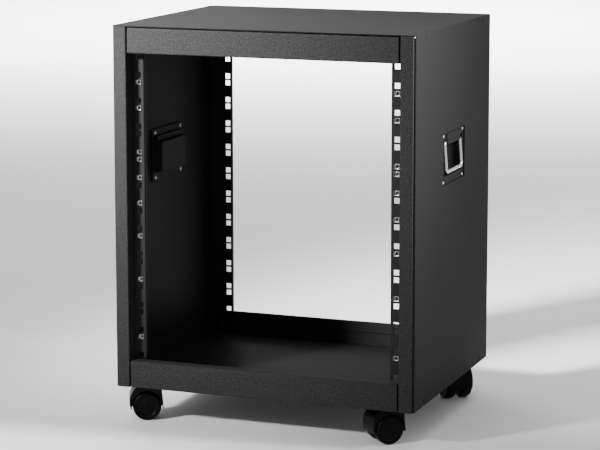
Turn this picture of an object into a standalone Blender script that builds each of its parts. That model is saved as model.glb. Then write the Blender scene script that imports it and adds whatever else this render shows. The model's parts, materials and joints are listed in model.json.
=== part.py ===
"""Equipment rack case: a steel cabinet on four swivel casters, open at the front and the back,
with two pairs of 12-unit rack rails, cage nuts and a recessed bail handle on each side."""

import math

import bmesh
import bpy
from mathutils import Matrix, Vector

# Driving dimensions, in metres. X runs to the right, Y from the front to the back, Z up from the floor.
UNIT = 0.04445
UNITS = 12
HOLE_SPACING = 0.4651
HOLE_SIZE = 0.0095
HOLE_FROM_UNIT_EDGE = 0.00635
RAIL_OPENING = 0.444
WIDTH = 0.542
DEPTH = 0.438
BODY_HEIGHT = 0.6285
CASTER_HEIGHT = 0.064
BEAM_HEIGHT = 0.047
POST_INSIDE = 0.2448
POST_OUTSIDE = 0.2677
FRONT_RAIL_SETBACK = 0.0236
REAR_RAIL_SETBACK = 0.0149
SHEET = 0.0015
RAIL_SHEET = 0.002
BEND = 0.0025
GAP = 0.0003
OVERRUN = 0.002

# Planes that follow from them.
HALF = WIDTH / 2
FRONT = -DEPTH / 2
BACK = DEPTH / 2
BASE_Z = CASTER_HEIGHT
TOP_Z = BASE_Z + BODY_HEIGHT
RACK_Z = BASE_Z + (BODY_HEIGHT - UNITS * UNIT) / 2
SIDES = {"left": -1, "right": 1}

# Sheet-metal details.
PANEL_SETBACK = 0.004
PANEL_FLANGE = 0.019
POST_LIP = 0.0037
POST_BACK_FLANGE = 0.0172
BEAM_RETURN = 0.020
BEAM_HALF = 0.242
BEAM_OVERLAP = 0.0012
TOP_SLOT = 0.002
HEM = 0.020
HEM_GAP = 0.0008
FOLD_SHORTFALL = 0.00002
PAN_FLANGE = 0.018
PAN_NOTCH = Vector((0.008, 0.0265, 0.006))
LID_CLEARANCE = 0.004
LONG_RETURN = 0.030
RAIL_RETURN = 0.0084
RAIL_FLANGE = 0.0244
RAIL_FOOT_GAP = 0.0008
RAIL_HEAD_GAP = 0.0285
POST_BEND = 0.002
CUT_DEPTH = 0.010

# Recessed handles: a tray in a shallow pressed recess, a strap and a swinging bail.
HANDLE_Z = {"left": 0.383, "right": 0.4025}
RECESS = Vector((0.0035, 0.127, 0.089))
TRAY_SHEET = 0.0012
TRAY_DEPTH = 0.016
SHELF_DEPTH = 0.0085
TRAY_HALF_Y = 0.053
TRAY_LOW = -0.031
TRAY_HIGH = 0.022
SHELF_HIGH = 0.0325
TRAY_TAPER = 0.003
BAIL_ROD = 0.00325
BAIL_HALF = 0.044
BAIL_DROP = 0.050
BAIL_AXIS = Vector((-0.004, 0.0, 0.027))
BAIL_LEAN = math.radians(4.4)
BAIL_CORNER = 0.008
BAIL_TOP_CORNER = 0.004
STRAP_HALF = 0.0385
STRAP_CURL = (math.radians(43), math.radians(-60))
STRAP_STEPS = 6

# Casters: twin wheels under a hood that trails behind its kingpin.
CASTER_INSET = Vector((0.052, 0.055))
CASTER_TURN = {
    "front_left": math.radians(206),
    "front_right": math.radians(224),
    "rear_left": math.radians(160),
    "rear_right": math.radians(312.6),
}
WHEEL_RADIUS = 0.025
WHEEL_INNER = 0.0044
WHEEL_OUTER = 0.0246
WHEEL_STEPS = 28
TRAIL = 0.017
AXLE_RADIUS = 0.004
AXLE_HALF = 0.0205
HOOD_HALF = 0.022
HOOD_TOP = 0.0592
HOOD_ARC = 0.0365
HOOD_ARC_CENTRE = Vector((0.0111, 0.0323))
HOOD_ARC_STEPS = 9
HOOD_FRONT = -0.0119
HOOD_FRONT_SLOPE = 0.0034
HOOD_LOW = 0.0200
HOOD_FRONT_RISE = 0.001
HOOD_HUB = 0.010
HOOD_WEB = 0.0036
WHEEL_WELL = 0.0263
PLATE = Vector((0.042, 0.042, 0.0025))
STUD_RADIUS = 0.005
STUD_BOTTOM = 0.0476
SHOULDER_RADIUS = 0.010

# Cage nuts: rail boundaries counted down from the top, and which hole of each pair is filled.
NUT_HOLES = (
    (1, "lower"), (2, "lower"), (4, "upper"), (4, "lower"), (5, "upper"),
    (6, "upper"), (7, "lower"), (9, "upper"), (11, "lower"),
)
NUT_NECK = 0.0089
NUT_BODY = 0.0118
NUT_THICKNESS = 0.0045
NUT_BORE = 0.0026

# Finishes: colour, roughness, metallic.
FINISHES = {
    "textured_black": ((0.036, 0.036, 0.038), 0.62, 0.0),
    "smooth_black": ((0.028, 0.028, 0.030), 0.48, 0.0),
    "rail_black": ((0.040, 0.040, 0.042), 0.50, 0.0),
    "bright_steel": ((0.72, 0.72, 0.70), 0.24, 1.0),
    "zinc": ((0.78, 0.74, 0.62), 0.28, 1.0),
    "black_plastic": ((0.012, 0.012, 0.013), 0.38, 0.0),
    "dark_steel": ((0.10, 0.10, 0.10), 0.40, 1.0),
}


def clear_scene():
    for obj in list(bpy.data.objects):
        bpy.data.objects.remove(obj, do_unlink=True)


def new_collection(name):
    collection = bpy.data.collections.new(name)
    bpy.context.scene.collection.children.link(collection)
    return collection


def paint(obj, finish):
    colour, roughness, metallic = FINISHES[finish]
    material = bpy.data.materials.new(obj.name + "_finish")
    material.use_nodes = True
    shader = material.node_tree.nodes["Principled BSDF"]
    shader.inputs["Base Color"].default_value = (*colour, 1.0)
    shader.inputs["Roughness"].default_value = roughness
    shader.inputs["Metallic"].default_value = metallic
    obj.data.materials.clear()
    obj.data.materials.append(material)


def mesh_object(name, bm, collection, smooth_angle=None):
    mesh = bpy.data.meshes.new(name)
    bm.to_mesh(mesh)
    bm.free()
    if smooth_angle is not None:
        mesh.shade_smooth()
        mesh.set_sharp_from_angle(angle=math.radians(smooth_angle))
    obj = bpy.data.objects.new(name, mesh)
    collection.objects.link(obj)
    return obj


def add_box(bm, low, high):
    """Adds a box between two corners to a bmesh and returns its vertices."""
    low = Vector(low)
    high = Vector(high)
    size = high - low
    matrix = Matrix.Translation((low + high) / 2) @ Matrix.Diagonal((*size, 1.0))
    return bmesh.ops.create_cube(bm, size=1.0, matrix=matrix)["verts"]


def add_cylinder(bm, radius, low, high, segments, matrix=None):
    """Adds a capped cylinder along Z from low to high, moved by a matrix."""
    place = Matrix.Translation((0, 0, (low + high) / 2))
    if matrix is not None:
        place = matrix @ place
    bmesh.ops.create_cone(
        bm, cap_ends=True, segments=segments, radius1=radius, radius2=radius, depth=high - low, matrix=place
    )


def cutter(name, bm, matrix=None):
    obj = mesh_object(name, bm, cutters)
    obj.hide_render = True
    obj.display_type = "WIRE"
    if matrix is not None:
        obj.matrix_world = matrix
    return obj


def combine(obj, tool, operation):
    modifier = obj.modifiers.new(tool.name, "BOOLEAN")
    modifier.object = tool
    modifier.operation = operation
    modifier.solver = "EXACT"


def bent_path(corners, radius, steps=3):
    """Rounds the inner corners of an outline of 2D points with arcs of one radius."""
    points = [Vector(corners[0])]
    for before, corner, after in zip(corners, corners[1:], corners[2:]):
        corner = Vector(corner)
        inward = (Vector(before) - corner).normalized()
        outward = (Vector(after) - corner).normalized()
        half_turn = inward.angle(outward) / 2
        reach = radius / math.tan(half_turn)
        centre = corner + (inward + outward).normalized() * radius / math.sin(half_turn)
        start = corner + inward * reach - centre
        sweep = math.pi - 2 * half_turn
        if inward.cross(outward) > 0:
            sweep = -sweep
        for step in range(steps + 1):
            points.append(centre + Matrix.Rotation(sweep * step / steps, 2) @ start)
    points.append(Vector(corners[-1]))
    return points


AXIS_FRAMES = {
    "Z": Matrix.Identity(4),
    "X": Matrix(((0, 0, 1, 0), (1, 0, 0, 0), (0, 1, 0, 0), (0, 0, 0, 1))),
    "Y": Matrix(((1, 0, 0, 0), (0, 0, -1, 0), (0, 1, 0, 0), (0, 0, 0, 1))),
}


def folded_sheet(name, path, axis, low, high, thickness, to_right, finish, matrix=None):
    """A bent sheet: the outer face follows a 2D path and runs along one axis from low to high.
    The path's points are (x, y) along Z, (y, z) along X and (x, z) along Y."""
    start, length = (-high, high - low) if axis == "Y" else (low, high - low)
    bm = bmesh.new()
    verts = [bm.verts.new((point.x, point.y, start)) for point in path]
    edges = [bm.edges.new(pair) for pair in zip(verts, verts[1:])]
    swept = bmesh.ops.extrude_edge_only(bm, edges=edges)["geom"]
    moved = [item for item in swept if isinstance(item, bmesh.types.BMVert)]
    bmesh.ops.translate(bm, verts=moved, vec=(0, 0, length))
    bm.normal_update()
    along = path[1] - path[0]
    right = Vector((along.y, -along.x, 0))
    if verts[0].link_faces[0].normal.dot(right) < 0:
        bmesh.ops.reverse_faces(bm, faces=bm.faces)
    bmesh.ops.transform(bm, matrix=AXIS_FRAMES[axis], verts=bm.verts)
    obj = mesh_object(name, bm, parts, smooth_angle=32)
    if matrix is not None:
        obj.matrix_world = matrix
    solidify = obj.modifiers.new("sheet", "SOLIDIFY")
    solidify.thickness = thickness
    solidify.offset = 1.0 if to_right else -1.0
    solidify.use_even_offset = True
    paint(obj, finish)
    return obj


def side_panel(label, side):
    """One side: a panel with an inward flange in front and behind, and a recess for the handle."""
    inner = HALF - PANEL_FLANGE
    corners = [
        (side * inner, BACK), (side * HALF, BACK), (side * HALF, FRONT + PANEL_SETBACK),
        (side * inner, FRONT + PANEL_SETBACK),
    ]
    panel = folded_sheet(
        label + "_side_panel", bent_path(corners, BEND), "Z", BASE_Z, TOP_Z, SHEET, side > 0, "smooth_black"
    )
    frame = handle_frame(label, side)
    wall = SHEET
    bump = bmesh.new()
    add_box(
        bump,
        (-RECESS.x - wall, -RECESS.y / 2 - wall, -RECESS.z / 2 - wall),
        (-wall / 2, RECESS.y / 2 + wall, RECESS.z / 2 + wall),
    )
    combine(panel, cutter(label + "_recess_back", bump, frame), "UNION")
    dip = bmesh.new()
    add_box(dip, (-RECESS.x, -RECESS.y / 2, -RECESS.z / 2), (OVERRUN, RECESS.y / 2, RECESS.z / 2))
    combine(panel, cutter(label + "_recess", dip, frame), "DIFFERENCE")
    window = bmesh.new()
    edge = TRAY_SHEET + GAP
    add_box(
        window,
        (-CUT_DEPTH, -TRAY_HALF_Y - edge, TRAY_LOW - edge),
        (OVERRUN, TRAY_HALF_Y + edge, SHELF_HIGH + edge),
    )
    combine(panel, cutter(label + "_tray_window", window, frame), "DIFFERENCE")
    trim = bmesh.new()
    reach = sorted((side * (inner - CUT_DEPTH), side * (HALF - SHEET)))
    for start, end in ((FRONT, FRONT + CUT_DEPTH), (BACK - CUT_DEPTH, BACK + OVERRUN)):
        add_box(trim, (reach[0], start, TOP_Z - LID_CLEARANCE), (reach[1], end, TOP_Z + OVERRUN))
    combine(panel, cutter(label + "_flange_trim", trim), "DIFFERENCE")


def flange_trim(name, low_z, high_z):
    """Clears a pan's side flanges away from the posts in front and the panel flanges behind."""
    bm = bmesh.new()
    for side in SIDES.values():
        in_front = (FRONT - CUT_DEPTH, FRONT + PAN_NOTCH.y)
        behind = (BACK - PAN_NOTCH.z, BACK + CUT_DEPTH)
        for start, end in (in_front, behind):
            ends = sorted((side * (HALF - PAN_NOTCH.x), side * (HALF + CUT_DEPTH)))
            add_box(bm, (ends[0], start, low_z), (ends[1], end, high_z))
    return cutter(name, bm)


def top_panel():
    """The lid: a sheet over the posts and beams, with a flange down inside each side panel."""
    inner = HALF - SHEET - GAP
    low = TOP_Z - PAN_FLANGE
    corners = [(-inner, low), (-inner, TOP_Z), (inner, TOP_Z), (inner, low)]
    path = bent_path(corners, BEND)
    panel = folded_sheet("top_panel", path, "Y", FRONT, BACK, SHEET, True, "smooth_black")
    combine(panel, flange_trim("top_flange_trim", low - CUT_DEPTH, TOP_Z - SHEET), "DIFFERENCE")


def base_panel():
    """The floor: a pan lying on the beams' lower returns, with a flange up inside each side panel."""
    inner = HALF - SHEET - GAP
    low = BASE_Z + SHEET + GAP
    high = low + PAN_FLANGE
    corners = [(-inner, high), (-inner, low), (inner, low), (inner, high)]
    start = FRONT + FRONT_RAIL_SETBACK
    end = BACK - SHEET - GAP
    path = bent_path(corners, BEND)
    panel = folded_sheet("base_panel", path, "Y", start, end, SHEET, False, "smooth_black")
    combine(panel, flange_trim("base_flange_trim", low + SHEET, high + CUT_DEPTH), "DIFFERENCE")


def front_post(label, side):
    """A channel beside the opening: front face, short outer lip, inner return and back flange."""
    back = FRONT + FRONT_RAIL_SETBACK - GAP
    corners = [
        (side * POST_OUTSIDE, FRONT + POST_LIP), (side * POST_OUTSIDE, FRONT), (side * POST_INSIDE, FRONT),
        (side * POST_INSIDE, back), (side * (POST_INSIDE + POST_BACK_FLANGE), back),
    ]
    top = TOP_Z - SHEET - GAP
    path = bent_path(corners, POST_BEND)
    folded_sheet("front_post_" + label, path, "Z", BASE_Z, top, SHEET, side > 0, "textured_black")


def beam_ends(beam, low, high):
    """Closes both ends of a front beam with a flange, where it is screwed to the posts."""
    bm = bmesh.new()
    for side in SIDES.values():
        outer = BEAM_HALF - GAP
        reach = sorted((side * outer, side * (outer - SHEET)))
        start = FRONT + BEAM_OVERLAP
        end = FRONT + BEAM_RETURN - SHEET
        add_box(bm, (reach[0], start, low + BEAM_OVERLAP), (reach[1], end, high - BEAM_OVERLAP))
    combine(beam, cutter(beam.name + "_ends", bm), "UNION")


def front_beams():
    """Channels between the posts. The lower one's bottom return is long and carries the floor."""
    low = BASE_Z + BEAM_HEIGHT
    bottom = [(FRONT + BEAM_RETURN, low), (FRONT, low), (FRONT, BASE_Z), (FRONT + LONG_RETURN, BASE_Z)]
    name = "front_bottom_beam"
    path = bent_path(bottom, BEND)
    beam = folded_sheet(name, path, "X", -BEAM_HALF, BEAM_HALF, SHEET, False, "textured_black")
    beam_ends(beam, BASE_Z, low)
    high = TOP_Z - SHEET - TOP_SLOT
    low = TOP_Z - BEAM_HEIGHT
    top = [(FRONT + BEAM_RETURN, high), (FRONT, high), (FRONT, low), (FRONT + BEAM_RETURN, low)]
    name = "front_top_beam"
    path = bent_path(top, BEND)
    beam = folded_sheet(name, path, "X", -BEAM_HALF, BEAM_HALF, SHEET, False, "textured_black")
    beam_ends(beam, low, high)


def rear_beams():
    """Behind, each beam has one return under or over the pan and a hem folded inside its free edge."""
    half = HALF - PANEL_FLANGE - GAP
    fold = 2 * SHEET + HEM_GAP
    radius = fold / 2 - FOLD_SHORTFALL
    bottom = [
        (BACK - LONG_RETURN, BASE_Z), (BACK, BASE_Z), (BACK, BASE_Z + BEAM_HEIGHT),
        (BACK - fold, BASE_Z + BEAM_HEIGHT), (BACK - fold, BASE_Z + BEAM_HEIGHT - HEM),
    ]
    path = bent_path(bottom, radius)
    folded_sheet("rear_bottom_beam", path, "X", -half, half, SHEET, False, "smooth_black")
    high = TOP_Z - SHEET - GAP
    low = TOP_Z - BEAM_HEIGHT
    top = [
        (BACK - BEAM_RETURN, high), (BACK, high), (BACK, low), (BACK - fold, low), (BACK - fold, low + HEM),
    ]
    path = bent_path(top, radius)
    folded_sheet("rear_top_beam", path, "X", -half, half, SHEET, True, "smooth_black")


def hole_heights():
    """The two hole centres of every rack unit, from the bottom up."""
    heights = []
    for unit in range(UNITS):
        low = RACK_Z + unit * UNIT
        heights += [low + HOLE_FROM_UNIT_EDGE, low + UNIT - HOLE_FROM_UNIT_EDGE]
    return heights


def hole_cutter(name, x, y):
    bm = bmesh.new()
    half = HOLE_SIZE / 2
    for z in hole_heights():
        add_box(bm, (x - half, y - CUT_DEPTH / 2, z - half), (x + half, y + CUT_DEPTH / 2, z + half))
    return cutter(name, bm)


def rack_rail(label, side, front):
    """A rack rail: its face carries the holes, a return stiffens the inner edge, and a flange runs
    back along the side panel."""
    inward = 1 if front else -1
    face = FRONT + FRONT_RAIL_SETBACK if front else BACK - REAR_RAIL_SETBACK
    inside = side * RAIL_OPENING / 2
    outside = side * (HALF - SHEET - GAP)
    corners = [
        (inside, face + inward * RAIL_RETURN), (inside, face), (outside, face),
        (outside, face + inward * RAIL_FLANGE),
    ]
    end = "front" if front else "rear"
    name = end + "_rail_" + label
    low = RACK_Z + RAIL_FOOT_GAP
    high = TOP_Z - RAIL_HEAD_GAP
    turn_right = (side * inward) < 0
    rail = folded_sheet(name, bent_path(corners, BEND), "Z", low, high, RAIL_SHEET, turn_right, "rail_black")
    holes = hole_cutter(name + "_holes", side * HOLE_SPACING / 2, face)
    combine(rail, holes, "DIFFERENCE")


def cage_nut(label, side, boundary, position):
    """A nut in its cage: a square neck in the rail's hole and a larger body behind the rail."""
    z = RACK_Z + (UNITS - boundary) * UNIT
    z += HOLE_FROM_UNIT_EDGE if position == "upper" else -HOLE_FROM_UNIT_EDGE
    x = side * HOLE_SPACING / 2
    face = FRONT + FRONT_RAIL_SETBACK
    back = face + RAIL_SHEET + GAP
    neck = NUT_NECK / 2
    body = NUT_BODY / 2
    bm = bmesh.new()
    add_box(bm, (x - body, back, z - body), (x + body, back + NUT_THICKNESS, z + body))
    name = "cage_nut_%s_%02d_%s" % (label, boundary, position)
    nut = mesh_object(name, bm, parts)
    tool = bmesh.new()
    add_box(tool, (x - neck, face + GAP, z - neck), (x + neck, back + NUT_THICKNESS / 2, z + neck))
    combine(nut, cutter(name + "_neck", tool), "UNION")
    tool = bmesh.new()
    turn = Matrix.Translation((x, back, z)) @ Matrix.Rotation(math.radians(90), 4, "X")
    add_cylinder(tool, NUT_BORE, -CUT_DEPTH, CUT_DEPTH, 10, turn)
    combine(nut, cutter(name + "_bore", tool), "DIFFERENCE")
    paint(nut, "zinc")


def handle_frame(label, side):
    """The handle's own frame: X points out of the side panel, with its origin on the panel's face."""
    place = Matrix.Translation((side * HALF, 0, BASE_Z + HANDLE_Z[label]))
    if side < 0:
        place = place @ Matrix.Rotation(math.pi, 4, "Z")
    return place


def add_tapered_box(bm, outer_x, inner_x, half_y, low, high):
    """A box that narrows towards the inside of the cabinet, in a handle's frame."""
    verts = add_box(bm, (inner_x, -half_y, low), (outer_x, half_y, high))
    middle = (inner_x + outer_x) / 2
    for vert in verts:
        if vert.co.x < middle:
            vert.co.y -= math.copysign(TRAY_TAPER, vert.co.y)
            vert.co.z -= math.copysign(TRAY_TAPER, vert.co.z - (low + high) / 2)


def handle_tray(label, side):
    """The pressed tray: a flange in the panel's recess, a finger pocket and a shelf for the pivot."""
    frame = handle_frame(label, side)
    back = -RECESS.x + GAP
    face = back + TRAY_SHEET
    wall = TRAY_SHEET
    bm = bmesh.new()
    half_y = RECESS.y / 2 - GAP
    half_z = RECESS.z / 2 - GAP
    add_box(bm, (back, -half_y, -half_z), (face, half_y, half_z))
    name = label + "_handle_tray"
    tray = mesh_object(name, bm, parts)
    tray.matrix_world = frame
    edge_y = TRAY_HALF_Y + wall
    tool = bmesh.new()
    high = TRAY_HIGH + TRAY_TAPER
    add_tapered_box(tool, face - wall / 2, -TRAY_DEPTH - wall, edge_y, TRAY_LOW - wall, high + wall)
    combine(tray, cutter(name + "_pocket_wall", tool, frame), "UNION")
    tool = bmesh.new()
    add_box(tool, (-SHELF_DEPTH - wall, -edge_y, 0), (face - wall / 3, edge_y, SHELF_HIGH + wall))
    combine(tray, cutter(name + "_shelf_wall", tool, frame), "UNION")
    tool = bmesh.new()
    add_tapered_box(tool, 0.0, -TRAY_DEPTH, TRAY_HALF_Y, TRAY_LOW, high)
    combine(tray, cutter(name + "_pocket", tool, frame), "DIFFERENCE")
    tool = bmesh.new()
    add_box(tool, (-SHELF_DEPTH, -TRAY_HALF_Y, wall), (OVERRUN, TRAY_HALF_Y, SHELF_HIGH))
    combine(tray, cutter(name + "_shelf", tool, frame), "DIFFERENCE")
    paint(tray, "smooth_black")


def handle_strap(label, side):
    """The strap that holds the bail: flat on the tray's flange, then curled over the pivot rod."""
    outer = BAIL_ROD + GAP + TRAY_SHEET
    start, end = STRAP_CURL
    top_x = BAIL_AXIS.x + outer * math.cos(start)
    path = [Vector((top_x, RECESS.z / 2 - SHEET))]
    for step in range(STRAP_STEPS + 1):
        angle = start + (end - start) * step / STRAP_STEPS
        path.append(Vector((BAIL_AXIS.x + outer * math.cos(angle), BAIL_AXIS.z + outer * math.sin(angle))))
    name = label + "_handle_strap"
    frame = handle_frame(label, side)
    folded_sheet(name, path, "Y", -STRAP_HALF, STRAP_HALF, TRAY_SHEET, True, "smooth_black", frame)


def handle_bail(label, side):
    """The swinging bail: one closed ring of round rod, whose upper bar is the pivot."""
    middle = -BAIL_DROP / 2
    top = bent_path([(0, 0), (BAIL_HALF, 0), (BAIL_HALF, middle)], BAIL_TOP_CORNER, steps=5)
    low = bent_path([(BAIL_HALF, middle), (BAIL_HALF, -BAIL_DROP), (0, -BAIL_DROP)], BAIL_CORNER, steps=5)
    half = top + low[1:]
    path = half + [Vector((-point.x, point.y)) for point in reversed(half[1:-1])]
    name = label + "_handle_bail"
    curve = bpy.data.curves.new(name, "CURVE")
    curve.dimensions = "3D"
    curve.bevel_depth = BAIL_ROD
    curve.bevel_resolution = 2
    spline = curve.splines.new("POLY")
    spline.points.add(len(path) - 1)
    for point, place in zip(spline.points, path):
        point.co = (0, place.x, place.y, 1)
    spline.use_cyclic_u = True
    bail = bpy.data.objects.new(name, curve)
    parts.objects.link(bail)
    lean = Matrix.Rotation(-BAIL_LEAN, 4, "Y")
    bail.matrix_world = handle_frame(label, side) @ Matrix.Translation(BAIL_AXIS) @ lean
    paint(bail, "bright_steel")


def caster_places():
    """Each caster's name, kingpin position and the direction in which it trails."""
    reach_x = HALF - CASTER_INSET.x
    reach_y = DEPTH / 2 - CASTER_INSET.y
    for name, turn in CASTER_TURN.items():
        x = reach_x if name.endswith("right") else -reach_x
        y = -reach_y if name.startswith("front") else reach_y
        yield name, Matrix.Translation((x, y, 0)) @ Matrix.Rotation(turn, 4, "Z")


def caster_plate(name, frame):
    """The fixed plate: bolted under the floor, with the kingpin below it."""
    top = BASE_Z + SHEET
    fixed = Matrix.Translation(frame.translation)
    bm = bmesh.new()
    add_box(bm, (-PLATE.x / 2, -PLATE.y / 2, top - PLATE.z), (PLATE.x / 2, PLATE.y / 2, top))
    plate = mesh_object(name + "_caster_plate", bm, parts)
    plate.matrix_world = fixed
    tool = bmesh.new()
    add_cylinder(tool, SHOULDER_RADIUS, HOOD_TOP + GAP, top - PLATE.z / 2, 20)
    combine(plate, cutter(name + "_shoulder", tool, fixed), "UNION")
    tool = bmesh.new()
    add_cylinder(tool, STUD_RADIUS, STUD_BOTTOM, top - PLATE.z / 2, 16)
    combine(plate, cutter(name + "_kingpin", tool, fixed), "UNION")
    paint(plate, "dark_steel")


def hood_outline():
    """The hood seen along the axle: a fender arc behind, a flat top and a straight front."""
    start = math.asin((HOOD_LOW - HOOD_ARC_CENTRE.y) / HOOD_ARC)
    end = math.asin((HOOD_TOP - HOOD_ARC_CENTRE.y) / HOOD_ARC)
    points = []
    for step in range(HOOD_ARC_STEPS + 1):
        angle = start + (end - start) * step / HOOD_ARC_STEPS
        points.append(HOOD_ARC_CENTRE + HOOD_ARC * Vector((math.cos(angle), math.sin(angle))))
    points.append(Vector((HOOD_FRONT + HOOD_FRONT_SLOPE, HOOD_TOP)))
    points.append(Vector((HOOD_FRONT, HOOD_LOW + HOOD_FRONT_RISE)))
    return points


def caster_hood(name, frame):
    """The swivelling hood: solid over the wheels, with a well for each and a web between them."""
    label = name + "_caster_hood"
    outline = bpy.data.curves.new(label, "CURVE")
    outline.dimensions = "2D"
    outline.fill_mode = "BOTH"
    outline.extrude = HOOD_HALF
    points = hood_outline()
    spline = outline.splines.new("POLY")
    spline.points.add(len(points) - 1)
    for point, place in zip(spline.points, points):
        point.co = (place.x, place.y, 0, 1)
    spline.use_cyclic_u = True
    flat = bpy.data.objects.new(label + "_outline", outline)
    parts.objects.link(flat)
    flat.matrix_world = frame @ Matrix.Rotation(math.radians(90), 4, "X")
    bpy.context.view_layer.update()
    solid = bpy.data.meshes.new_from_object(flat.evaluated_get(bpy.context.evaluated_depsgraph_get()))
    bm = bmesh.new()
    bm.from_mesh(solid)
    bmesh.ops.remove_doubles(bm, verts=bm.verts, dist=0.00001)
    bmesh.ops.dissolve_limit(bm, angle_limit=math.radians(1), verts=bm.verts, edges=bm.edges)
    hood = mesh_object(label, bm, parts, smooth_angle=32)
    hood.matrix_world = flat.matrix_world
    bpy.data.objects.remove(flat, do_unlink=True)
    bpy.data.curves.remove(outline)
    across = Matrix.Translation((TRAIL, 0, WHEEL_RADIUS)) @ Matrix.Rotation(math.radians(90), 4, "X")
    tool = bmesh.new()
    add_cylinder(tool, HOOD_HUB, -HOOD_WEB, HOOD_WEB, 20, across)
    combine(hood, cutter(label + "_hub", tool, frame), "UNION")
    tool = bmesh.new()
    add_cylinder(tool, WHEEL_WELL, HOOD_WEB, HOOD_HALF + OVERRUN, 36, across)
    add_cylinder(tool, WHEEL_WELL, -HOOD_HALF - OVERRUN, -HOOD_WEB, 36, across)
    combine(hood, cutter(label + "_wells", tool, frame), "DIFFERENCE")
    tool = bmesh.new()
    add_cylinder(tool, AXLE_RADIUS + GAP, -HOOD_WEB - OVERRUN, HOOD_WEB + OVERRUN, 16, across)
    combine(hood, cutter(label + "_axle_bore", tool, frame), "DIFFERENCE")
    tool = bmesh.new()
    add_cylinder(tool, STUD_RADIUS + GAP, STUD_BOTTOM - 2 * GAP, HOOD_TOP + OVERRUN, 16)
    combine(hood, cutter(label + "_socket", tool, frame), "DIFFERENCE")
    paint(hood, "black_plastic")


def caster_axle(name, frame):
    bm = bmesh.new()
    add_cylinder(bm, AXLE_RADIUS, -AXLE_HALF, AXLE_HALF, 16)
    axle = mesh_object(name + "_caster_axle", bm, parts, smooth_angle=32)
    across = Matrix.Translation((TRAIL, 0, WHEEL_RADIUS)) @ Matrix.Rotation(math.radians(90), 4, "X")
    axle.matrix_world = frame @ across
    paint(axle, "dark_steel")


def wheel_profile():
    """Half a section of a wheel: (radius, distance from the middle of the caster), outer face first."""
    bore = AXLE_RADIUS + GAP
    return [
        (0.0, WHEEL_OUTER - 0.0008), (0.0195, WHEEL_OUTER - 0.0008), (0.0203, WHEEL_OUTER),
        (0.0222, WHEEL_OUTER - 0.0003), (0.0240, WHEEL_OUTER - 0.0022), (WHEEL_RADIUS, WHEEL_OUTER - 0.0055),
        (WHEEL_RADIUS, WHEEL_INNER + 0.0045), (0.0238, WHEEL_INNER + 0.0012), (0.0218, WHEEL_INNER),
        (bore, WHEEL_INNER), (bore, AXLE_HALF + GAP), (0.0, AXLE_HALF + GAP),
    ]


def caster_wheel(name, frame, number):
    """One of the twin wheels, turned on its axle line with a blind bore for the axle."""
    label = "%s_caster_wheel_%d" % (name, number)
    bm = bmesh.new()
    verts = [bm.verts.new((radius, 0, height)) for radius, height in wheel_profile()]
    for pair in zip(verts, verts[1:]):
        bm.edges.new(pair)
    wheel = mesh_object(label, bm, parts)
    screw = wheel.modifiers.new("turn", "SCREW")
    screw.steps = WHEEL_STEPS
    screw.render_steps = WHEEL_STEPS
    screw.use_merge_vertices = True
    screw.merge_threshold = 0.00001
    screw.use_smooth_shade = True
    side = -90 if number == 1 else 90
    across = Matrix.Translation((TRAIL, 0, WHEEL_RADIUS)) @ Matrix.Rotation(math.radians(side), 4, "X")
    wheel.matrix_world = frame @ across
    paint(wheel, "black_plastic")


clear_scene()
parts = new_collection("equipment_rack_case")
cutters = new_collection("cutters")

for label, side in SIDES.items():
    side_panel(label, side)
    front_post(label, side)
    rack_rail(label, side, front=True)
    rack_rail(label, side, front=False)
    handle_tray(label, side)
    handle_strap(label, side)
    handle_bail(label, side)
    for boundary, position in NUT_HOLES:
        cage_nut(label, side, boundary, position)
top_panel()
base_panel()
front_beams()
rear_beams()
for name, frame in caster_places():
    caster_plate(name, frame)
    caster_hood(name, frame)
    caster_axle(name, frame)
    for number in (1, 2):
        caster_wheel(name, frame, number)
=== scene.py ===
import json
import math

import bmesh
import bpy
from mathutils import Matrix, Vector


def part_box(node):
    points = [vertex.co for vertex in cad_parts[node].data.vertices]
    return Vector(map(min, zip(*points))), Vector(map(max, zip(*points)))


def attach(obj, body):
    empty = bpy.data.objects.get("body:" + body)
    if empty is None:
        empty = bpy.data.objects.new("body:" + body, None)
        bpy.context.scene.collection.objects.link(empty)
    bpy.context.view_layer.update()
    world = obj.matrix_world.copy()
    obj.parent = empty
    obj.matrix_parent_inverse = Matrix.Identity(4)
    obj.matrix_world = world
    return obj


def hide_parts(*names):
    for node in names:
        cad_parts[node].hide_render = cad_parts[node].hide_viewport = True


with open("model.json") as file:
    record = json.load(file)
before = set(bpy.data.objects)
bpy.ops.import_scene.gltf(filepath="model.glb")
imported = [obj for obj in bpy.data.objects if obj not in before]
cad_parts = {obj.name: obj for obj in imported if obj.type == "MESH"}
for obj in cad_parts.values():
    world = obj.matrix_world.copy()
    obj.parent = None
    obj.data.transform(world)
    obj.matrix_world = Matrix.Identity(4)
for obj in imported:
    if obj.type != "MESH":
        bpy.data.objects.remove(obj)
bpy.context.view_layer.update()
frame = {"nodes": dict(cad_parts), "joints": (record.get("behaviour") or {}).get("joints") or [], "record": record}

record = frame["record"]
slotOf = {part["node"]: part["material_slot"] for part in record["subparts"]}
bodyOf = {node: body for body, nodes in record["behaviour"]["bodies"].items() for node in nodes}
jointOf = {joint["name"]: joint for joint in frame["joints"]}
sides = {"left": -1, "right": 1}
corners = ("front_left", "front_right", "rear_left", "rear_right")
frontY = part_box("front_post_left")[0].y
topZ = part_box("top_panel")[1].z
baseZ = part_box("right_side_panel")[0].z
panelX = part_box("right_side_panel")[1].x


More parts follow.
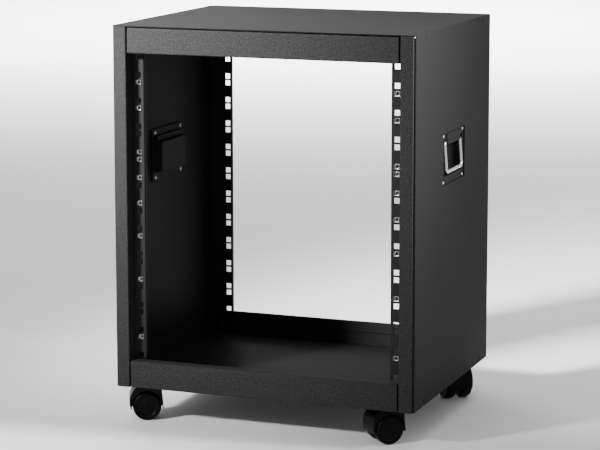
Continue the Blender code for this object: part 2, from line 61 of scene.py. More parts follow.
class Value:
    # a socket that takes part in sums, so shader maths reads like arithmetic
    def __init__(self, finish, socket):
        self.finish = finish
        self.socket = socket

    def sum(self, operation, first, second):
        return self.finish.node("ShaderNodeMath", {"operation": operation}, {0: first, 1: second})

    def __add__(self, other):
        return self.sum("ADD", self, other)

    def __radd__(self, other):
        return self.sum("ADD", other, self)

    def __sub__(self, other):
        return self.sum("SUBTRACT", self, other)

    def __rsub__(self, other):
        return self.sum("SUBTRACT", other, self)

    def __mul__(self, other):
        return self.sum("MULTIPLY", self, other)

    def __rmul__(self, other):
        return self.sum("MULTIPLY", other, self)


class Finish:
    def __init__(self, name):
        self.material = bpy.data.materials.new(name)
        self.material.use_nodes = True
        self.tree = self.material.node_tree
        self.shader = self.tree.nodes["Principled BSDF"]

    def node(self, kind, settings, inputs, output=0):
        made = self.tree.nodes.new(kind)
        for key, value in settings.items():
            if key == "stops":
                for element, (position, colour) in zip(made.color_ramp.elements, value):
                    element.position = position
                    element.color = colour
            else:
                setattr(made, key, value)
        for key, value in inputs.items():
            self.feed(made.inputs[key], value)
        return Value(self, made.outputs[output])

    def feed(self, socket, value):
        if isinstance(value, Value):
            self.tree.links.new(value.socket, socket)
        else:
            socket.default_value = value

    def set(self, **values):
        for key, value in values.items():
            self.feed(self.shader.inputs[key.replace("_", " ")], value)

    def place(self):
        return self.node("ShaderNodeTexCoord", {}, {}, "Object")

    def noise(self, vector, scale, detail, roughness=0.55):
        inputs = {"Vector": vector, "Scale": scale, "Detail": detail, "Roughness": roughness}
        return self.node("ShaderNodeTexNoise", {}, inputs)

    def ramp(self, value, low, high):
        # 0 below low and 1 above high
        stops = ((low, (0, 0, 0, 1)), (high, (1, 1, 1, 1)))
        return self.node("ShaderNodeValToRGB", {"stops": stops}, {"Fac": value})

    def mix(self, factor, first, second):
        return self.node("ShaderNodeMix", {"data_type": "RGBA"}, {0: factor, 6: first, 7: second}, 2)

    def bump(self, height, strength, distance):
        inputs = {"Height": height, "Strength": strength, "Distance": distance}
        return self.node("ShaderNodeBump", {}, inputs)


coatPattern = {
    "grainDetail": 2.5,
    "grainRoughness": 0.6,
    "driftDetail": 3.0,
    "fleckFrom": 0.36,            # the grain's height at which a pale fleck starts
    "fleckFull": 0.68,
    "grainDulls": 0.22,           # how much grain and drift change the roughness
    "driftDulls": 0.10,
}


def powderCoat(name, look):
    # sprayed powder: a fine grain in colour, gloss and relief, over slow drifts from the gun
    finish = Finish(name)
    place = finish.place()
    grain = finish.noise(place, look["grain"], coatPattern["grainDetail"], coatPattern["grainRoughness"])
    drift = finish.noise(place, look["drift"], coatPattern["driftDetail"])
    fleck = finish.ramp(grain, coatPattern["fleckFrom"], coatPattern["fleckFull"])
    base = finish.mix(drift, look["dark"], look["mid"])
    finish.set(Base_Color=finish.mix(fleck * look["fleck"], base, look["light"]))
    uneven = (grain - 0.5) * coatPattern["grainDulls"]
    finish.set(Roughness=look["roughness"] + uneven + (drift - 0.5) * coatPattern["driftDulls"])
    finish.set(Normal=finish.bump(grain, look["relief"], look["depth"]))
    finish.set(Specular_IOR_Level=look["gloss"])
    return finish.material


platePattern = {
    "cloudDetail": 4.0,
    "marksDetail": 2.0,
    "warmFrom": 0.35,             # the cloud's height at which the warm tint starts
    "warmFull": 0.65,
    "marksDull": 0.16,
    "cloudDulls": 0.10,
    "marksDepth": 0.00005,
}


def platedMetal(name, look):
    # plated steel with a clouded tint and fine drawing marks, and painted shade where the grime attribute is set
    finish = Finish(name)
    place = finish.place()
    cloud = finish.noise(place, look["cloud"], platePattern["cloudDetail"])
    drawn = finish.node("ShaderNodeMapping", {}, {"Vector": place, "Scale": look["stretch"]})
    marks = finish.noise(drawn, look["marks"], platePattern["marksDetail"])
    tint = finish.ramp(cloud, platePattern["warmFrom"], platePattern["warmFull"])
    plate = finish.mix(tint, look["cool"], look["warm"])
    # painted shade: the grime attribute mixes a dark colour over the plate
    grime = finish.node("ShaderNodeAttribute", {"attribute_name": "grime"}, {}, "Fac")
    finish.set(Base_Color=finish.mix(grime, plate, look["shadeColour"]))
    uneven = (marks - 0.5) * platePattern["marksDull"]
    finish.set(Roughness=look["roughness"] + uneven + (cloud - 0.5) * platePattern["cloudDulls"])
    finish.set(Normal=finish.bump(marks, look["relief"], platePattern["marksDepth"]))
    finish.set(Metallic=1.0)
    return finish.material


nylonPattern = {
    "spark": 1400.0,
    "sparkDetail": 2.0,
    "sparkRelief": 0.18,
    "sparkDepth": 0.00004,
    "cloud": 60.0,
    "cloudDetail": 3.0,
    "cloudDulls": 0.16,
    "dustFrom": 0.40,             # the cloud's height at which dust starts to lie
    "dustFull": 0.72,
    "dustDulls": 0.35,
}


def mouldedNylon(name, look):
    # moulded black nylon: a faint spark texture, with floor dust on what rolls
    finish = Finish(name)
    place = finish.place()
    spark = finish.noise(place, nylonPattern["spark"], nylonPattern["sparkDetail"])
    cloud = finish.noise(place, nylonPattern["cloud"], nylonPattern["cloudDetail"])
    dust = finish.node("ShaderNodeAttribute", {"attribute_name": "tread"}, {}, "Fac")
    patches = finish.ramp(cloud, nylonPattern["dustFrom"], nylonPattern["dustFull"])
    amount = dust * patches * look["dust"]
    colour = finish.mix(cloud, look["dark"], look["mid"])
    finish.set(Base_Color=finish.mix(amount, colour, look["grey"]))
    uneven = (cloud - 0.5) * nylonPattern["cloudDulls"]
    finish.set(Roughness=look["roughness"] + uneven + amount * nylonPattern["dustDulls"])
    finish.set(Normal=finish.bump(spark, nylonPattern["sparkRelief"], nylonPattern["sparkDepth"]))
    finish.set(Specular_IOR_Level=look["gloss"])
    return finish.material


finishLook = {
    "textured_black": {
        "dark": (0.0080, 0.0080, 0.0083, 1), "mid": (0.0112, 0.0112, 0.0115, 1),
        "light": (0.050, 0.050, 0.0505, 1), "fleck": 0.60, "grain": 520.0, "drift": 9.0,
        "roughness": 0.66, "relief": 0.90, "depth": 0.00030, "gloss": 0.06,
    },
    "smooth_black": {
        "dark": (0.0080, 0.0080, 0.0083, 1), "mid": (0.0106, 0.0106, 0.0109, 1),
        "light": (0.019, 0.019, 0.0194, 1), "fleck": 0.35, "grain": 1100.0, "drift": 6.0,
        "roughness": 0.58, "relief": 0.22, "depth": 0.00008, "gloss": 0.04,
    },
    "rail_black": {
        "dark": (0.0090, 0.0090, 0.0094, 1), "mid": (0.0125, 0.0125, 0.0130, 1),
        "light": (0.024, 0.024, 0.0246, 1), "fleck": 0.40, "grain": 900.0, "drift": 12.0,
        "roughness": 0.55, "relief": 0.25, "depth": 0.00008, "gloss": 0.06,
    },
    "bright_steel": {
        "cool": (0.74, 0.74, 0.75, 1), "warm": (0.80, 0.79, 0.76, 1), "cloud": 90.0, "marks": 260.0,
        "stretch": (4.0, 1.0, 1.0), "roughness": 0.26, "relief": 0.15, "shadeColour": (0.05, 0.05, 0.05, 1),
    },
    # zinc's near-black shadeColour is the painted shade in the nuts' threads and on their cages
    "zinc": {
        "cool": (0.95, 0.94, 0.90, 1), "warm": (0.94, 0.90, 0.78, 1), "cloud": 320.0, "marks": 900.0,
        "stretch": (1.0, 1.0, 2.0), "roughness": 0.42, "relief": 0.25, "shadeColour": (0.012, 0.011, 0.009, 1),
    },
    "dark_steel": {
        "cool": (0.10, 0.10, 0.105, 1), "warm": (0.16, 0.15, 0.14, 1), "cloud": 200.0, "marks": 600.0,
        "stretch": (1.0, 3.0, 1.0), "roughness": 0.40, "relief": 0.25, "shadeColour": (0.01, 0.01, 0.01, 1),
    },
    "black_plastic": {
        "dark": (0.0012, 0.0012, 0.0013, 1), "mid": (0.0021, 0.0021, 0.0022, 1),
        "grey": (0.018, 0.017, 0.017, 1), "dust": 0.25, "roughness": 0.36, "gloss": 0.08,
    },
}
finishMaker = {
    "textured_black": powderCoat, "smooth_black": powderCoat, "rail_black": powderCoat,
    "bright_steel": platedMetal, "zinc": platedMetal, "dark_steel": platedMetal,
    "black_plastic": mouldedNylon,
}
finishes = {slot: finishMaker[slot](slot + "_finish", look) for slot, look in finishLook.items()}
print("finishes made:", len(finishes))


meshRules = {
    "merge": 0.000002,            # corners nearer than this are one
    "flat": math.radians(0.5),    # faces that turn by less than this are joined
    "sharp": math.radians(40),    # edges that turn by more than this are rounded off
    "smooth": math.radians(35),   # shading runs on over edges that turn by less
}


def workObject(bm):
    mesh = bpy.data.meshes.new("work")
    bm.to_mesh(mesh)
    bm.free()
    item = bpy.data.objects.new("work", mesh)
    bpy.context.scene.collection.objects.link(item)
    return item


def carve(bm, tool, operation="DIFFERENCE"):
    # joins or cuts two closed shapes and returns the result
    body = workObject(bm)
    cutter = workObject(tool)
    change = body.modifiers.new("carve", "BOOLEAN")
    change.object = cutter
    change.operation = operation
    bpy.context.view_layer.update()
    solid = bpy.data.meshes.new_from_object(body.evaluated_get(bpy.context.evaluated_depsgraph_get()))
    result = bmesh.new()
    result.from_mesh(solid)
    for item in (body, cutter):
        mesh = item.data
        bpy.data.objects.remove(item)
        bpy.data.meshes.remove(mesh)
    bpy.data.meshes.remove(solid)
    return result


def easeEdges(bm, width, segments=2):
    # rounds off every sharp edge
    edges = [edge for edge in bm.edges if edge.is_manifold and edge.calc_face_angle() > meshRules["sharp"]]
    bmesh.ops.bevel(
        bm, geom=edges, offset=width, offset_type="OFFSET", affect="EDGES", segments=segments,
        profile=0.5, material=-1, clamp_overlap=True,
    )


def block(bm, low, high):
    low = Vector(low)
    high = Vector(high)
    place = Matrix.Translation((low + high) / 2) @ Matrix.Diagonal((*(high - low), 1.0))
    bmesh.ops.create_cube(bm, size=1.0, matrix=place)


def turned(profile, steps, place=Matrix.Identity(4)):
    # a profile of (radius, height) points, spun about Z
    bm = bmesh.new()
    verts = [bm.verts.new((radius, 0, height)) for radius, height in profile]
    edges = [bm.edges.new(pair) for pair in zip(verts, verts[1:])]
    bmesh.ops.spin(
        bm, geom=verts + edges, cent=(0, 0, 0), axis=(0, 0, 1), angle=2 * math.pi, steps=steps,
        use_merge=True,
    )
    bmesh.ops.remove_doubles(bm, verts=bm.verts, dist=meshRules["merge"])
    bmesh.ops.recalc_face_normals(bm, faces=bm.faces)
    bmesh.ops.transform(bm, matrix=place, verts=bm.verts)
    return bm


def rod(radius, low, high, steps, place=Matrix.Identity(4)):
    return turned([(0, low), (radius, low), (radius, high), (0, high)], steps, place)


def addCopy(bm, source, place):
    # adds a moved copy of a finished bmesh
    mesh = bpy.data.meshes.new("copy")
    source.to_mesh(mesh)
    mesh.transform(place)
    bm.from_mesh(mesh)
    bpy.data.meshes.remove(mesh)


def finishPiece(name, bm, slot, body, standsFor=()):
    mesh = bpy.data.meshes.new(name)
    bm.to_mesh(mesh)
    bm.free()
    mesh.materials.append(finishes[slot])
    mesh.shade_smooth()
    mesh.set_sharp_from_angle(angle=meshRules["smooth"])
    piece = bpy.data.objects.new(name, mesh)
    bpy.context.scene.collection.objects.link(piece)
    flat = piece.modifiers.new("flat faces", "WEIGHTED_NORMAL")    # keeps large faces flat to their edges
    flat.keep_sharp = True
    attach(piece, body)
    if standsFor:
        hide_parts(*standsFor)
    return piece


def mergedCopy(node):
    # a node's own shape, with its loose triangles joined up again
    bm = bmesh.new()
    bm.from_mesh(frame["nodes"][node].data)
    bmesh.ops.remove_doubles(bm, verts=bm.verts, dist=meshRules["merge"])
    bmesh.ops.dissolve_limit(bm, angle_limit=meshRules["flat"], verts=bm.verts, edges=bm.edges)
    return bm


def axisFrame(origin, outward, up=Vector((0, 0, 1))):
    # a frame whose Z points outward and whose Y is as near up as it can be
    zAxis = Vector(outward).normalized()
    xAxis = up.cross(zAxis).normalized()
    yAxis = zAxis.cross(xAxis)
    turn = Matrix((xAxis, yAxis, zAxis)).transposed().to_4x4()
    return Matrix.Translation(origin) @ turn


sheetLook = {
    "edge": 0.00045,              # rounding on the cut edges of the sheets
    "screwFromFront": (0.056, 0.224, 0.390),
    "screwBelowTop": 0.0090,
    "screwAboveBase": 0.0084,
    "dimpleMouth": 0.0042,
    "dimpleFloor": 0.0030,
    "dimpleDepth": 0.0011,
    "dimpleSteps": 32,
    "cutPast": 0.0006,            # how far the dimple's cutter stands out of the panel
}


def screwPlaces(side):
    for fromFront in sheetLook["screwFromFront"]:
        for z in (baseZ + sheetLook["screwAboveBase"], topZ - sheetLook["screwBelowTop"]):
            yield axisFrame((side * panelX, frontY + fromFront, z), (side, 0, 0))


def sidePanel(label, side):
    node = label + "_side_panel"
    bm = mergedCopy(node)
    mouth = sheetLook["dimpleMouth"]
    floor = sheetLook["dimpleFloor"]
    depth = sheetLook["dimpleDepth"]
    above = sheetLook["cutPast"]
    flare = (mouth - floor) / depth * above
    profile = [(0, -depth), (floor, -depth), (mouth + flare, above), (0, above)]
    dimples = bmesh.new()
    dimple = turned(profile, sheetLook["dimpleSteps"])
    for place in screwPlaces(side):
        addCopy(dimples, dimple, place)
    dimple.free()
    bm = carve(bm, dimples)
    easeEdges(bm, sheetLook["edge"])
    finishPiece(node + "_pressed", bm, slotOf[node], bodyOf[node], [node])


# the folded and pressed sheets keep their own shapes, with rounded edges
sheetNodes = (
    "top_panel", "base_panel", "front_post_left", "front_post_right", "front_top_beam", "front_bottom_beam",
    "rear_top_beam", "rear_bottom_beam", "front_rail_left", "front_rail_right", "rear_rail_left",
    "rear_rail_right", "left_handle_tray", "right_handle_tray", "left_handle_strap", "right_handle_strap",
)
for node in sheetNodes:
    bm = mergedCopy(node)
    easeEdges(bm, sheetLook["edge"])
    finishPiece(node + "_pressed", bm, slotOf[node], bodyOf[node], [node])
for label, side in sides.items():
    sidePanel(label, side)
print("sheet metal made:", len(sheetNodes) + len(sides))


fastenerLook = {
    "headRadius": 0.0030,
    "headHeight": 0.0010,
    "headDome": ((0, 1), (0.45, 0.96), (0.8, 0.72), (1, 0.25), (1, 0), (0, 0)),
    "headLift": 0.0001,           # how far a side screw stands off its dimple's floor
    "crossHalf": 0.0018,
    "crossWidth": 0.00075,
    "crossDepth": 0.00072,
    "cutPast": 0.001,
    "rivetRadius": 0.0027,
    "rivetHeight": 0.0011,
    "rivetFullness": 0.7,         # below 1 the dome is fuller than half a ball
    "rivetSteps": 6,
    "rivetY": 0.055,
    "rivetZ": 0.040,
    "tailProfile": (
        (0, 0.0006), (0.0014, 0.0006), (0.0018, 0.0013), (0.0024, 0.0018), (0.0031, 0.0015),
        (0.0037, 0.0007), (0.0037, 0), (0, 0),
    ),
    "pressDepth": 0.0050,         # from the panel's face to the inside of its pressed recess
    "around": 28,
}


def crossHead(radius, height):
    # a low domed head with a cross recess, standing on Z = 0
    profile = [(radius * out, height * up) for out, up in fastenerLook["headDome"]]
    head = turned(profile, fastenerLook["around"])
    cross = bmesh.new()
    reach = fastenerLook["crossHalf"] * radius / fastenerLook["headRadius"]
    half = fastenerLook["crossWidth"] / 2
    low = height - fastenerLook["crossDepth"]
    high = height + fastenerLook["cutPast"]
    block(cross, (-reach, -half, low), (reach, half, high))
    bar = bmesh.new()
    block(bar, (-half, -reach, low), (half, reach, high))
    return carve(carve(head, cross), bar)


def rivetHead():
    radius = fastenerLook["rivetRadius"]
    height = fastenerLook["rivetHeight"]
    steps = fastenerLook["rivetSteps"]
    profile = [(0, height)]
    for step in range(1, steps):
        angle = math.radians(90 * step / steps)
        rise = math.cos(angle) ** fastenerLook["rivetFullness"]
        profile.append((radius * math.sin(angle), height * rise))
    profile += [(radius, 0), (0, 0)]
    return turned(profile, fastenerLook["around"])


def rivetTail():
    # the rolled-over end of a tubular rivet, seen from inside the cabinet
    return turned(fastenerLook["tailProfile"], fastenerLook["around"])


# screws sit in the side panels' dimples, and rivets run through each tray and the panel behind it
for label, side in sides.items():
    heads = bmesh.new()
    head = crossHead(fastenerLook["headRadius"], fastenerLook["headHeight"])
    sunk = Matrix.Translation((0, 0, fastenerLook["headLift"] - sheetLook["dimpleDepth"]))
    for place in screwPlaces(side):
        addCopy(heads, head, place @ sunk)
    head.free()
    finishPiece(label + "_side_screws", heads, "rail_black", "cabinet")

    trayLow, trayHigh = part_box(label + "_handle_tray")
    middleZ = (trayLow.z + trayHigh.z) / 2
    flangeX = side * max(abs(trayLow.x), abs(trayHigh.x))
    backX = side * (panelX - fastenerLook["pressDepth"])
    fronts = bmesh.new()
    tails = bmesh.new()
    front = rivetHead()
    tail = rivetTail()
    for y in (-fastenerLook["rivetY"], fastenerLook["rivetY"]):
        for z in (-fastenerLook["rivetZ"], fastenerLook["rivetZ"]):
            addCopy(fronts, front, axisFrame((flangeX, y, middleZ + z), (side, 0, 0)))
            addCopy(tails, tail, axisFrame((backX, y, middleZ + z), (-side, 0, 0)))
    front.free()
    tail.free()
    finishPiece(label + "_handle_rivets", fronts, "bright_steel", "cabinet")
    finishPiece(label + "_handle_rivet_tails", tails, "bright_steel", "cabinet")
print("fasteners made")


bailLook = {
    "rod": 0.00325,
    "half": 0.044,
    "drop": 0.050,
    "hingeCorner": 0.004,
    "gripCorner": 0.008,
    "lean": math.radians(4.4),
    "around": 24,
    "cornerSteps": 10,
    "merge": 0.00002,
}
quarterTurn = math.radians(90)


def bailRing():
    # a round section run about the ring: straight, corner, straight, until it meets itself
    bm = bmesh.new()
    half = bailLook["half"]
    drop = bailLook["drop"]
    hinge = bailLook["hingeCorner"]
    grip = bailLook["gripCorner"]
    section = bmesh.ops.create_circle(
        bm, cap_ends=False, segments=bailLook["around"], radius=bailLook["rod"],
        matrix=Matrix.Rotation(quarterTurn, 4, "X"),
    )["verts"]
    edges = list({edge for vert in section for edge in vert.link_edges})
    heading = Vector((0, 1, 0))
    position = Vector((0, 0, 0))
    turnRight = Matrix.Rotation(quarterTurn, 3, "X").inverted()
    leg = drop - hinge - grip
    runs = ((half - hinge, hinge), (leg, grip), (2 * (half - grip), grip), (leg, hinge), (half - hinge, None))
    for length, corner in runs:
        swept = bmesh.ops.extrude_edge_only(bm, edges=edges)["geom"]
        verts = [item for item in swept if isinstance(item, bmesh.types.BMVert)]
        bmesh.ops.translate(bm, verts=verts, vec=heading * length)
        edges = [item for item in swept if isinstance(item, bmesh.types.BMEdge) and item.is_boundary]
        position += heading * length
        if corner is None:
            break
        inward = turnRight @ heading
        centre = position + inward * corner
        bent = bmesh.ops.spin(
            bm, geom=edges, cent=centre, axis=(1, 0, 0), angle=-quarterTurn,
            steps=bailLook["cornerSteps"], use_merge=False,
        )["geom_last"]
        edges = [item for item in bent if isinstance(item, bmesh.types.BMEdge)]
        position = centre + heading * corner
        heading = inward
    bmesh.ops.remove_doubles(bm, verts=bm.verts, dist=bailLook["merge"])
    bmesh.ops.recalc_face_normals(bm, faces=bm.faces)
    return bm


for label, side in sides.items():
    node = label + "_handle_bail"
    pivot = Vector(jointOf[label + "_bail_swing"]["pos_m"])
    bm = bailRing()
    lean = Matrix.Rotation(-side * bailLook["lean"], 4, "Y")
    bmesh.ops.transform(bm, matrix=Matrix.Translation(pivot) @ lean, verts=bm.verts)
    finishPiece(node + "_rod", bm, slotOf[node], bodyOf[node], [node])
print("bails made")


nutLook = {
    "face": 0.0043,               # half the nut's width
    "front": 0.0021,              # how far it sits behind the rail's face
    "back": 0.0064,
    "corner": 0.0005,
    "minor": 0.0028,              # the thread's radii
    "major": 0.0032,
    "mouth": 0.0042,              # radius of the flared lead-in
    "pitch": 0.0010,
    "cutPast": 0.0006,            # how far the thread's cutter stands out in front, and then behind
    "cutBehind": 0.001,
    "leadIn": 0.0016,
    "threadSteps": 24,
    "cageHalf": 0.0042,
    "cageOut": 0.0056,
    "cageBack": 0.0071,
    "lugTip": 0.0052,
    "lugFront": -0.0007,
    "railBack": 0.0023,
    "wire": 0.00045,
    "cageGap": 0.0003,
    "cageEdge": 0.00012,
    "collar": 0.0046,
    "collarRise": 0.0006,
    "collarRound": 0.4,           # rounding on the collar's ridges, as a share of its rise
    "collarSteps": 32,
    # painted shade on the nut's corners and cage, as a share of the full dark
    "cageShade": 0.86,
    "shadeMargin": 0.0003,        # how far outside the collar the cage's painted shade starts
    "boreMargin": 0.00002,
}


alongY = axisFrame((0, 0, 0), (0, 1, 0))


def threadedNut():
    # square nut, its threaded hole running along Y
    bm = bmesh.new()
    half = nutLook["face"]
    block(bm, (-half, nutLook["front"], -half), (half, nutLook["back"], half))
    easeEdges(bm, nutLook["corner"], segments=3)
    minor = nutLook["minor"]
    start = nutLook["front"] - nutLook["cutPast"]
    height = start + nutLook["leadIn"]
    profile = [(0, start), (nutLook["mouth"], start), (minor, height)]
    while height < nutLook["back"]:
        profile += [(nutLook["major"], height + nutLook["pitch"] / 2), (minor, height + nutLook["pitch"])]
        height += nutLook["pitch"]
    end = nutLook["back"] + nutLook["cutBehind"]
    profile += [(minor, end), (0, end)]
    return carve(bm, turned(profile, nutLook["threadSteps"], alongY))


def nutCollar():
    # the rounded land about the mouth of the thread
    out = nutLook["collar"]
    mouth = nutLook["major"]
    middle = (out + mouth) / 2
    front = nutLook["front"]
    rise = nutLook["collarRise"]
    back = front + rise
    profile = [(mouth, back), (mouth, front), (middle, front - rise), (out, front), (out, back)]
    profile += profile[:1]
    collar = turned(profile, nutLook["collarSteps"], alongY)
    easeEdges(collar, rise * nutLook["collarRound"])
    return collar


def paintNutShade(piece, centre):
    # painted shade: the thread and the folded cage are painted darker, and the collar keeps the plate's colour
    grime = piece.data.attributes.new("grime", "FLOAT", "POINT")
    values = []
    for vert in piece.data.vertices:
        away = math.hypot(vert.co.x - centre.x, vert.co.z - centre.z)
        inBore = away < nutLook["major"] - nutLook["boreMargin"]
        onCage = away > nutLook["collar"] + nutLook["shadeMargin"]
        values.append(1.0 if inBore else nutLook["cageShade"] if onCage else 0.0)
    grime.data.foreach_set("value", values)


def springCage():
    # a strip folded round the nut, whose two lugs grip the edges of the hole
    out = nutLook["cageOut"]
    half = nutLook["cageHalf"] + nutLook["wire"]
    front = nutLook["lugFront"]
    behindRail = nutLook["railBack"] + nutLook["cageGap"]
    route = [
        (nutLook["lugTip"], front), (half, front), (half, behindRail), (out, behindRail),
        (out, nutLook["cageBack"]),
    ]
    route += [(-x, y) for x, y in reversed(route)]
    bm = bmesh.new()
    depth = nutLook["face"] - nutLook["cageGap"]
    verts = [bm.verts.new((x, y, -depth)) for x, y in route]
    edges = [bm.edges.new(pair) for pair in zip(verts, verts[1:])]
    swept = bmesh.ops.extrude_edge_only(bm, edges=edges)["geom"]
    moved = [item for item in swept if isinstance(item, bmesh.types.BMVert)]
    bmesh.ops.translate(bm, verts=moved, vec=(0, 0, 2 * depth))
    bmesh.ops.recalc_face_normals(bm, faces=bm.faces)
    bmesh.ops.solidify(bm, geom=bm.faces, thickness=nutLook["wire"])
    easeEdges(bm, nutLook["cageEdge"])
    return bm


nutNodes = sorted(node for node in frame["nodes"] if node.startswith("cage_nut_"))
nutShapes = (threadedNut(), nutCollar(), springCage())
for node in nutNodes:
    low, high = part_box(node)
    rail = "front_rail_left" if low.x < 0 else "front_rail_right"
    place = Matrix.Translation(((low.x + high.x) / 2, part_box(rail)[0].y, (low.z + high.z) / 2))
    bm = bmesh.new()
    for shape in nutShapes:
        addCopy(bm, shape, place)
    piece = finishPiece(node + "_zinc", bm, slotOf[node], bodyOf[node], [node])
    # each nut's thread and cage get painted shade
    paintNutShade(piece, place.translation)
for shape in nutShapes:
    shape.free()
print("cage nuts made:", len(nutNodes))


casterLook = {
    "trail": 0.017,
    "axleZ": 0.025,
    "hoodHalf": 0.022,
    "hoodTop": 0.0592,
    "hoodLow": 0.0200,
    "arcRadius": 0.0365,
    "arcCentre": (0.0111, 0.0323),
    "arcSteps": 28,
    "frontX": -0.0119,
    "frontSlope": 0.0034,
    "web": 0.0036,
    "well": 0.0270,
    "hub": 0.010,
    "bore": 0.0043,
    "socket": 0.0053,
    "socketBottom": 0.0470,
    "toeRise": 0.001,             # how much higher the hood's toe ends than its back
    "cutPast": 0.002,
    "edge": 0.0007,
    "wheelSteps": 96,
    "hubSteps": 40,
    "boreSteps": 32,
    "treadFrom": 0.0232,          # the radius at which the tread starts
    "treadBlend": 0.0016,
    "wheelProfile": (             # cap, disc, ring, groove, tread, inner face, blind bore
        (0.0, 0.0238), (0.0036, 0.0238), (0.0046, 0.0234), (0.0050, 0.0228), (0.0150, 0.0226),
        (0.0164, 0.0228), (0.0172, 0.0234), (0.0178, 0.0240), (0.0194, 0.0243), (0.0200, 0.0241),
        (0.0203, 0.0235), (0.0207, 0.0235), (0.0211, 0.0243), (0.0218, 0.0246), (0.0228, 0.0243),
        (0.0238, 0.0233), (0.0246, 0.0216), (0.0250, 0.0190), (0.0250, 0.0122), (0.0247, 0.0098),
        (0.0240, 0.0076), (0.0228, 0.0059), (0.0210, 0.0048), (0.0170, 0.0044), (0.0160, 0.0056),
        (0.0095, 0.0056), (0.0085, 0.0044), (0.0043, 0.0044), (0.0043, 0.0208), (0.0, 0.0208),
    ),
    "raceProfile": (
        (0.0104, 0.0600), (0.0150, 0.0600), (0.0158, 0.0607), (0.0158, 0.0619), (0.0150, 0.0626),
        (0.0104, 0.0626), (0.0104, 0.0600),
    ),
    "raceSteps": 48,
    "screwRadius": 0.0026,
    "screwHeight": 0.0011,
    "screwInset": 0.0045,         # from the edges of the plate
    "plateSheet": 0.0025,
}


def casterFrame(corner):
    # X runs from the kingpin to the axle, Y along the axle
    pin = Vector(jointOf[corner + "_swivel_turn"]["pos_m"])
    axle = Vector(jointOf[corner + "_wheel_1_spin"]["pos_m"])
    trail = Vector((axle.x - pin.x, axle.y - pin.y, 0)).normalized()
    up = Vector((0, 0, 1))
    turn = Matrix((trail, up.cross(trail), up)).transposed().to_4x4()
    return Matrix.Translation((pin.x, pin.y, 0)) @ turn


def hoodShape():
    look = casterLook
    centre = Vector((look["arcCentre"][0], 0, look["arcCentre"][1]))
    start = math.asin((look["hoodLow"] - centre.z) / look["arcRadius"])
    end = math.asin((look["hoodTop"] - centre.z) / look["arcRadius"])
    bm = bmesh.new()
    first = bm.verts.new(centre + look["arcRadius"] * Vector((math.cos(start), 0, math.sin(start))))
    swept = bmesh.ops.spin(
        bm, geom=[first], cent=centre, axis=(0, -1, 0), angle=end - start, steps=look["arcSteps"],
        use_merge=False,
    )["geom_last"]
    last = [item for item in swept if isinstance(item, bmesh.types.BMVert)][0]
    shoulder = bm.verts.new((look["frontX"] + look["frontSlope"], 0, look["hoodTop"]))
    toe = bm.verts.new((look["frontX"], 0, look["hoodLow"] + look["toeRise"]))
    for pair in ((last, shoulder), (shoulder, toe), (toe, first)):
        bm.edges.new(pair)
    face = bmesh.ops.contextual_create(bm, geom=bm.edges)["faces"]
    bmesh.ops.translate(bm, verts=bm.verts, vec=(0, -look["hoodHalf"], 0))
    swept = bmesh.ops.extrude_face_region(bm, geom=face)["geom"]
    moved = [item for item in swept if isinstance(item, bmesh.types.BMVert)]
    bmesh.ops.translate(bm, verts=moved, vec=(0, 2 * look["hoodHalf"], 0))
    bmesh.ops.recalc_face_normals(bm, faces=bm.faces)
    axle = axisFrame((look["trail"], 0, look["axleZ"]), (0, 1, 0))
    web = look["web"]
    past = look["cutPast"]
    outside = look["hoodHalf"] + past
    bm = carve(bm, rod(look["hub"], -web, web, look["hubSteps"], axle), "UNION")
    wells = bmesh.new()
    for low, high in ((web, outside), (-outside, -web)):
        well = rod(look["well"], low, high, look["wheelSteps"], axle)
        addCopy(wells, well, Matrix.Identity(4))
        well.free()
    bm = carve(bm, wells)
    bm = carve(bm, rod(look["bore"], -web - past, web + past, look["boreSteps"], axle))
    bm = carve(bm, rod(look["socket"], look["socketBottom"], look["hoodTop"] + past, look["boreSteps"]))
    bmesh.ops.dissolve_limit(bm, angle_limit=meshRules["flat"], verts=bm.verts, edges=bm.edges)
    easeEdges(bm, look["edge"], segments=3)
    return bm


def markTread(piece, axlePoint, axis):
    # the tread attribute is 1 on the rolling surface and 0 on the discs
    tread = piece.data.attributes.new("tread", "FLOAT", "POINT")
    values = []
    for vert in piece.data.vertices:
        away = vert.co - axlePoint
        away -= axis * away.dot(axis)
        share = (away.length - casterLook["treadFrom"]) / casterLook["treadBlend"]
        values.append(min(1.0, max(0.0, share)))
    tread.data.foreach_set("value", values)


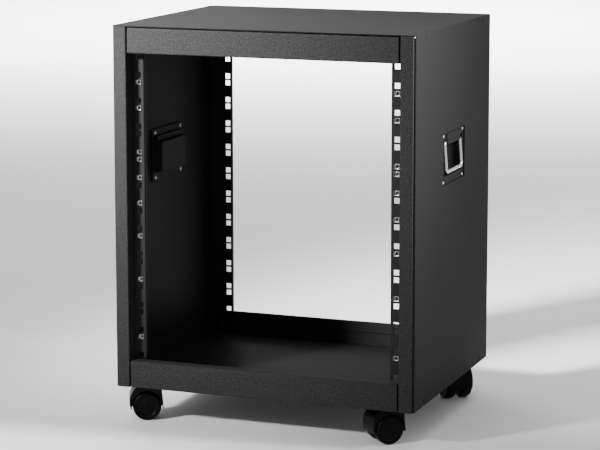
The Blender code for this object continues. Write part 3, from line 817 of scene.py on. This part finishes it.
hood = hoodShape()
wheel = turned(casterLook["wheelProfile"], casterLook["wheelSteps"])
race = turned(casterLook["raceProfile"], casterLook["raceSteps"])
plateScrew = crossHead(casterLook["screwRadius"], casterLook["screwHeight"])
for corner in corners:
    place = casterFrame(corner)
    node = corner + "_caster_hood"
    bm = bmesh.new()
    addCopy(bm, hood, place)
    finishPiece(node + "_moulded", bm, slotOf[node], bodyOf[node], [node])
    for number, turn in ((1, -90), (2, 90)):
        node = "%s_caster_wheel_%d" % (corner, number)
        across = Matrix.Translation((casterLook["trail"], 0, casterLook["axleZ"]))
        across = across @ Matrix.Rotation(math.radians(turn), 4, "X")
        bm = bmesh.new()
        addCopy(bm, wheel, place @ across)
        piece = finishPiece(node + "_turned", bm, slotOf[node], bodyOf[node], [node])
        joint = jointOf["%s_wheel_%d_spin" % (corner, number)]
        markTread(piece, Vector(joint["pos_m"]), Vector(joint["axis"]).normalized())
    fixed = Matrix.Translation(place.translation)
    bm = bmesh.new()
    addCopy(bm, race, fixed)
    finishPiece(corner + "_caster_race", bm, "dark_steel", "cabinet")
    screws = bmesh.new()
    plateLow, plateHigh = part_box(corner + "_caster_plate")
    reach = (plateHigh.x - plateLow.x) / 2 - casterLook["screwInset"]
    plateUnder = plateHigh.z - casterLook["plateSheet"]
    for x in (-reach, reach):
        for y in (-reach, reach):
            spot = place.translation + Vector((x, y, plateUnder))
            addCopy(screws, plateScrew, axisFrame(spot, (0, 0, -1), Vector((0, 1, 0))))
    finishPiece(corner + "_caster_screws", screws, "dark_steel", "cabinet")
    for node in (corner + "_caster_plate", corner + "_caster_axle"):
        frame["nodes"][node].data.materials.clear()
        frame["nodes"][node].data.materials.append(finishes[slotOf[node]])
for shape in (hood, wheel, race, plateScrew):
    shape.free()
print("casters made:", len(corners))


stageLook = {
    "floor": (0.86, 0.86, 0.86, 1),
    "floorRoughness": 0.9,
    "floorHalf": 40,
    "world": 0.65,
    "lights": {
        "key": {
            "from": (-1.6, -2.3, 1.9), "at": (-0.42, -0.22, 0.80), "size": 0.5, "watts": 20, "spread": 26,
        },
        "overhead": {
            "from": (0.0, 0.9, 3.0), "at": (0, 0.9, 0), "size": 2.4, "watts": 26, "spread": 150,
        },
        "side": {
            "from": (2.5, 0.08, 1.85), "at": (0.27, -0.46, 0.92), "size": 0.4, "watts": 26, "spread": 33,
        },
        "rear": {
            "from": (-2.2, 3.0, 2.1), "at": (0, 0.25, 0.35), "size": 1.6, "watts": 5, "spread": 70,
        },
        "backdrop": {
            "from": (-2.5, 7.0, 4.5), "at": (-2.5, 7.6, 0), "size": 4.5, "watts": 1100, "spread": 108,
        },
    },
}
cameraLook = {
    "position": (1.3928, -3.7155, 1.0448),
    "yaw": 20.705,
    "pitch": 8.730,
    "roll": -0.049,
    "focal": 2280.0 / 600,        # focal length over the image's width
    "sensor": 36,
    "shift": -0.1,
}

floorMesh = bpy.data.meshes.new("floor")
bm = bmesh.new()
bmesh.ops.create_grid(bm, x_segments=1, y_segments=1, size=stageLook["floorHalf"])
bm.to_mesh(floorMesh)
bm.free()
floor = bpy.data.objects.new("floor", floorMesh)
bpy.context.scene.collection.objects.link(floor)
floorFinish = Finish("floor_finish")
floorFinish.set(Base_Color=stageLook["floor"], Roughness=stageLook["floorRoughness"])
floorMesh.materials.append(floorFinish.material)

world = bpy.data.worlds.new("studio")
world.use_nodes = True
sky = world.node_tree.nodes["Background"].inputs
sky["Color"].default_value = (1, 1, 1, 1)
sky["Strength"].default_value = stageLook["world"]
bpy.context.scene.world = world

for name, look in stageLook["lights"].items():
    data = bpy.data.lights.new(name, "AREA")
    data.shape = "SQUARE"
    data.size = look["size"]
    data.energy = look["watts"]
    data.spread = math.radians(look["spread"])
    light = bpy.data.objects.new(name, data)
    bpy.context.scene.collection.objects.link(light)
    light.location = look["from"]
    aim = Vector(look["at"]) - Vector(look["from"])
    light.rotation_euler = aim.to_track_quat("-Z", "Y").to_euler()

cameraData = bpy.data.cameras.new("camera")
cameraData.sensor_width = cameraLook["sensor"]
cameraData.lens = cameraLook["focal"] * cameraData.sensor_width
cameraData.shift_y = cameraLook["shift"]
camera = bpy.data.objects.new("camera", cameraData)
bpy.context.scene.collection.objects.link(camera)
yaw = Matrix.Rotation(math.radians(cameraLook["yaw"]), 4, "Z")
pitch = Matrix.Rotation(math.radians(90 - cameraLook["pitch"]), 4, "X")
roll = Matrix.Rotation(math.radians(cameraLook["roll"]), 4, "Z")
camera.matrix_world = Matrix.Translation(cameraLook["position"]) @ yaw @ pitch @ roll
bpy.context.scene.camera = camera
print("stage made")
